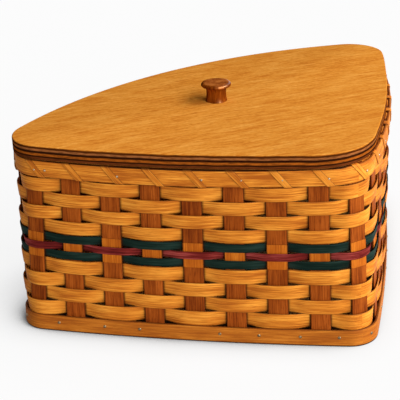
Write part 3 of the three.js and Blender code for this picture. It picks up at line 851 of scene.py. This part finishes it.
# Tacks in the bottom band and brads in the rim: along the front wall at turns of their own, and by the
# stakes of the other walls, where each strays a little from its place beside the stake

NAIL_FACE = 3.5
NAIL_SIDES = 12
NAIL_ROWS = 5
NAIL_SUNK = -0.35
NAIL_TOP = 0.47 * math.pi
TACK_PLACE = -0.4
TACK_STRAY = 0.06
BRAD_PLACE = 0.3
BRAD_STRAY = 0.05
WALL_TACKS = slice(2, 23)
WALL_BRADS = slice(1, 22)
FRONT_TACKS = [22.58, 23.75, 24.63, 26.59, 27.53, 28.51, 29.43, 30.27]
FRONT_BRADS = [22.1, 22.38, 24.24, 26.27, 27.2, 28.16, 29.24, 30.3]


def nail_heads(name, turn, level, radius, rise, metal):
    """Low domes on the wall: radius falls to nothing as the height rises, as a quarter of an ellipse."""
    tilt = np.linspace(NAIL_SUNK, NAIL_TOP, NAIL_ROWS)
    spin = math.tau * np.arange(NAIL_SIDES) / NAIL_SIDES
    ring = radius * np.cos(np.maximum(tilt, 0.0))
    lift = rise * np.sin(tilt)
    side = ring[None, :] * np.cos(spin)[:, None]
    up = ring[None, :] * np.sin(spin)[:, None]
    points = wall(
        turn[:, None, None] + side[None] / spacing(level),
        NAIL_FACE + np.broadcast_to(lift, side.shape)[None],
        level + up[None] + 0 * turn[:, None, None],
    )
    skin(name, points, metal, "basket", closed_path=True)


every = np.arange(STAKE_COUNT)
tack_turns = every + TACK_PLACE + TACK_STRAY * rng.standard_normal(STAKE_COUNT)
brad_turns = every + BRAD_PLACE + BRAD_STRAY * rng.standard_normal(STAKE_COUNT)
tack_turns = np.append(tack_turns[WALL_TACKS], FRONT_TACKS)
brad_turns = np.append(brad_turns[WALL_BRADS], FRONT_BRADS)
nail_heads("band_tacks", tack_turns, level=9.2, radius=1.6, rise=0.8, metal=tack_metal)
nail_heads("rim_brads", brad_turns, level=167.0, radius=1.2, rise=1.1, metal=brad_metal)

# Boards

LID_EASING = 1.2
BASE_EASING = 0.6
BASE_INSET = 1.0
# Rows of the base board's top by their inset and their shade, which deepens towards the wall
FOOT_SHADE = [(18.0, 0.0), (12.0, 0.8), (7.0, 0.96)]
EDGE_SHADE = 0.96


def board(name, outline, normals, rows, material, body, nodes, shade=0.0):
    """A board from its outline, and rows of inset and height down its edge, with a shade for each row."""
    inset, level = np.array(rows).T
    spot = outline[:, None] - normals[:, None] * inset[None, :, None]
    height = np.broadcast_to(level[None, :, None], (*spot.shape[:2], 1))
    points = np.concatenate([spot, height], -1)
    skin(name, points, material, body, closed_path=True, edge=0.0, painted_shade=shade, nodes=nodes)


def eased_edge(top, bottom, radius, steps=5):
    """Inset and height down a board's edge, with both corners rounded to a radius."""
    turn = np.linspace(0, math.pi / 2, steps)
    upper = np.stack([radius * (1 - np.sin(turn)), top - radius * (1 - np.cos(turn))], -1)
    lower = np.stack([radius * (1 - np.cos(turn)), bottom + radius * (1 - np.sin(turn))], -1)
    return np.concatenate([upper, lower])


lid_rows = eased_edge(LID_TOP, LID_BOTTOM, LID_EASING)
board("lid_board_ply", lid_outline, lid_normal, lid_rows, lid_ply, "lid", ["lid_board"])
base_edge = wall(shares * STAKE_COUNT, -BASE_INSET, 0.0)[:, :2]
base_normal = plan_at(BASE_PLAN, shares - STAKE_LEAN / STAKE_COUNT, 0.0)[1]
shade_rows = np.array([(inset, BOARD_THICKNESS) for inset, shade in FOOT_SHADE])
edge_rows = eased_edge(BOARD_THICKNESS, 0.0, BASE_EASING)
base_shade = np.array([shade for inset, shade in FOOT_SHADE] + [EDGE_SHADE] * len(edge_rows))
base_rows = np.concatenate([shade_rows, edge_rows])
board("base_board_ply", base_edge, base_normal, base_rows, base_ply, "basket", ["base_board"],
      base_shade)

# Knob: a profile of radius and height turned about its axis


def bend(start, pull, end, steps):
    """Points of a curve that leaves start towards pull and reaches end from it, the end itself left out."""
    share = np.linspace(0.0, 1.0, steps, endpoint=False)[:, None]
    start, pull, end = np.array([start, pull, end])
    return (1 - share) ** 2 * start + 2 * share * (1 - share) * pull + share**2 * end


KNOB_BOTTOM = LID_TOP + CLEARANCE
KNOB_SIDES = 96
knob_profile = np.concatenate([
    [[10.5, -CLEARANCE]],
    bend((10.7, 0.0), (9.0, 7.2), (10.5, 14.2), 16),
    bend((10.5, 14.2), (14.9, 14.7), (14.9, 16.2), 12),
    bend((14.9, 16.2), (14.9, 18.8), (10.8, 18.9), 16),
    bend((10.8, 18.9), (6.0, 19.0), (0.4, 19.0), 8),
])
spin = math.tau * np.arange(KNOB_SIDES) / KNOB_SIDES
radius, rise = knob_profile.T
points = np.stack([
    KNOB_PLACE[0] + radius[None] * np.cos(spin)[:, None],
    KNOB_PLACE[1] + radius[None] * np.sin(spin)[:, None],
    np.broadcast_to(KNOB_BOTTOM + rise, (KNOB_SIDES, len(rise))),
], -1)
skin("knob_turned", points, knob_wood, "lid", closed_path=True, nodes=["knob"])

# Cleats under the lid: bars with eased edges, each inside the middle of its wall

CLEAT_LENGTH = 80.0
CLEAT_WIDTH = 16.0
CLEAT_HEIGHT = 9.0
CLEAT_STEPS = 9
# In from the rim's outline by the wall, the lid's shift and some play
CLEAT_REACH_IN = 2 * WALL_DEPTH + 1.5 + LID_SHIFT + 1.0
cleat_middle = LID_BOTTOM - CLEARANCE - CLEAT_HEIGHT / 2
across, up = strip_profile(CLEAT_WIDTH, CLEAT_HEIGHT, count=24, width_power=14.0, thickness_power=12.0)
run = np.linspace(-CLEAT_LENGTH / 2, CLEAT_LENGTH / 2, CLEAT_STEPS)
for wall_index, name in ((0, "lid_cleat_side"), (2, "lid_cleat_curve"), (4, "lid_cleat_front")):
    arc_radius = RIM_PLAN["radius"][wall_index]
    heading = RIM_PLAN["start"][wall_index] + RIM_PLAN["length"][wall_index] / arc_radius / 2
    reach = math.sqrt((arc_radius - CLEAT_REACH_IN) ** 2 - CLEAT_LENGTH**2 / 4) - CLEAT_WIDTH / 2
    outward = np.array([math.cos(heading), math.sin(heading)])
    sideways = np.array([-outward[1], outward[0]])
    middle = RIM_PLAN["centre"][wall_index] + outward * reach - LID_SHIFT
    spot = middle + outward * across[None, :, None] + sideways * run[:, None, None]
    height = np.broadcast_to((cleat_middle + up)[None, :, None], (*spot.shape[:2], 1))
    points = np.concatenate([spot, height], -1)
    skin(name + "_bar", points, cleat_wood, "lid", closed_round=True, nodes=[name])

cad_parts["knob_screw"].data.materials.clear()
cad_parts["knob_screw"].data.materials.append(screw_steel)

# Floor: white paper that is darker close to the basket and on the side away from the light

scene.view_settings.view_transform = "Standard"
FLOOR_HALF = 6.0
PAPER_GLOW = 0.92
PAPER_LIT = 0.97
PAPER_BOUNCE = 0.5
floor_mesh = bpy.data.meshes.new("floor")
floor_corners = [(-FLOOR_HALF, -FLOOR_HALF, 0), (FLOOR_HALF, -FLOOR_HALF, 0),
                 (FLOOR_HALF, FLOOR_HALF, 0), (-FLOOR_HALF, FLOOR_HALF, 0)]
floor_mesh.from_pydata(floor_corners, [], [(0, 1, 2, 3)])
floor = bpy.data.objects.new("floor", floor_mesh)
scene.collection.objects.link(floor)
floor_material = bpy.data.materials.new("floor_paper")
floor_material.use_nodes = True
paper = Nodes(floor_material.node_tree)
paper.nodes.clear()


def seen_directly(nodes, links):
    """One for rays from the camera, and for mirrored and refracted ones, and nothing for scattered light."""
    ray = nodes.new("ShaderNodeLightPath")
    total = ray.outputs["Is Camera Ray"]
    for kind in ("Is Glossy Ray", "Is Transmission Ray"):
        joined = nodes.new("ShaderNodeMath")
        joined.operation = "ADD"
        joined.use_clamp = True
        links.new(total, joined.inputs[0])
        links.new(ray.outputs[kind], joined.inputs[1])
        total = joined.outputs[0]
    return total


def paper_shade(distance, towards, stops):
    """Grey of the paper by how open it is, within a distance in metres, around a direction."""
    direction = paper.add("ShaderNodeCombineXYZ", dict(zip("XYZ", towards)))
    near = paper.add("ShaderNodeAmbientOcclusion", {"Distance": distance, "Normal": direction.outputs[0]})
    return paper.ramp(near.outputs["AO"], [(position, grey(level)) for position, level in stops])


close_shade = paper_shade(
    distance=0.04,
    towards=(0.36, -0.06, 0.93),
    stops=[(0.50, 0.16), (0.565, 0.43), (0.62, 0.69), (0.71, 0.83), (0.82, 0.92), (1.0, 0.97)],
)
side_shade = paper_shade(
    distance=0.10,
    towards=(0.72, -0.48, 0.5),
    stops=[(0.30, 0.5), (0.50, 0.74), (0.72, 0.95), (0.9, 1.0)],
)
# The paper's glow is darkened by both shades: a painted shadow of the basket on the floor
white = paper.add("ShaderNodeEmission", {"Color": paper.blend(1.0, close_shade, side_shade, "MULTIPLY")})
lit = paper.add("ShaderNodeBsdfDiffuse", {"Color": (*grey(PAPER_LIT), 1.0)})
seen = paper.add("ShaderNodeMixShader", {0: PAPER_GLOW, 1: lit.outputs[0], 2: white.outputs[0]})
bounce = paper.add("ShaderNodeBsdfDiffuse", {"Color": (*grey(PAPER_BOUNCE), 1.0)})
directly = seen_directly(paper.nodes, paper.links)
whole = paper.add("ShaderNodeMixShader", {0: directly, 1: bounce.outputs[0], 2: seen.outputs[0]})
paper.add("ShaderNodeOutputMaterial", {"Surface": whole.outputs[0]})
floor_mesh.materials.append(floor_material)

# Light: an even white world, a lamp from the upper right and a broader one from the front right

WORLD_LIGHT = 0.2
WORLD_WHITE = 1.0
LAMP_DISTANCE = 3.0
world = bpy.data.worlds.new("studio")
scene.world = world
world.use_nodes = True
sky = Nodes(world.node_tree)
background = sky.nodes["Background"]
sky.give(background.inputs["Color"], (1.0, 1.0, 1.0, 1.0))
directly = seen_directly(sky.nodes, sky.links)
strength = sky.add("ShaderNodeMapRange", {"Value": directly, "To Min": WORLD_LIGHT, "To Max": WORLD_WHITE})
sky.give(background.inputs["Strength"], strength.outputs["Result"])


def stand(thing, right, up, back, place):
    """Put a lamp or a camera into the scene at a place, by its three axes."""
    axes = np.eye(4)
    axes[:3] = np.stack([right, up, back, place], 1)
    thing.matrix_world = Matrix(axes.tolist())
    scene.collection.objects.link(thing)


def soft_sun(name, towards, spread, strength):
    """A broad even lamp: light that comes from a direction, with its spread as an angle."""
    lamp = bpy.data.lights.new(name, "SUN")
    lamp.energy = strength
    lamp.angle = math.radians(spread)
    facing = np.array(towards) / np.linalg.norm(towards)
    side = np.cross((0.0, 0.0, 1.0), facing)
    side = side / np.linalg.norm(side)
    stand(bpy.data.objects.new(name, lamp), side, np.cross(facing, side), facing, facing * LAMP_DISTANCE)


soft_sun("key", towards=(0.77, 0.09, 0.62), spread=34.0, strength=2.35)
soft_sun("front_fill", towards=(0.69, -0.60, 0.40), spread=44.0, strength=2.8)

# Camera: the turn, height and roll of the view, with its distance and target in millimetres

CAMERA_AZIMUTH = math.radians(10.386)
CAMERA_ELEVATION = math.radians(24.406)
CAMERA_ROLL = math.radians(-2.176)
CAMERA_DISTANCE = 1149.8
CAMERA_TARGET = np.array([-171.4, 107.06, 90.0])
FOCAL_PIXELS = 1122.0
PICTURE_PIXELS = 400.0
SENSOR = 36.0
back = np.array([
    math.sin(CAMERA_AZIMUTH) * math.cos(CAMERA_ELEVATION),
    -math.cos(CAMERA_AZIMUTH) * math.cos(CAMERA_ELEVATION),
    math.sin(CAMERA_ELEVATION),
])
level_right = np.array([math.cos(CAMERA_AZIMUTH), math.sin(CAMERA_AZIMUTH), 0.0])
level_up = np.cross(back, level_right)
right = level_right * math.cos(CAMERA_ROLL) + level_up * math.sin(CAMERA_ROLL)
up = level_up * math.cos(CAMERA_ROLL) - level_right * math.sin(CAMERA_ROLL)
camera = bpy.data.objects.new("camera", bpy.data.cameras.new("camera"))
camera.data.sensor_width = SENSOR
camera.data.lens = FOCAL_PIXELS / PICTURE_PIXELS * SENSOR
stand(camera, right, up, back, (CAMERA_TARGET + SHIFT + back * CAMERA_DISTANCE) / 1000)
scene.camera = camera
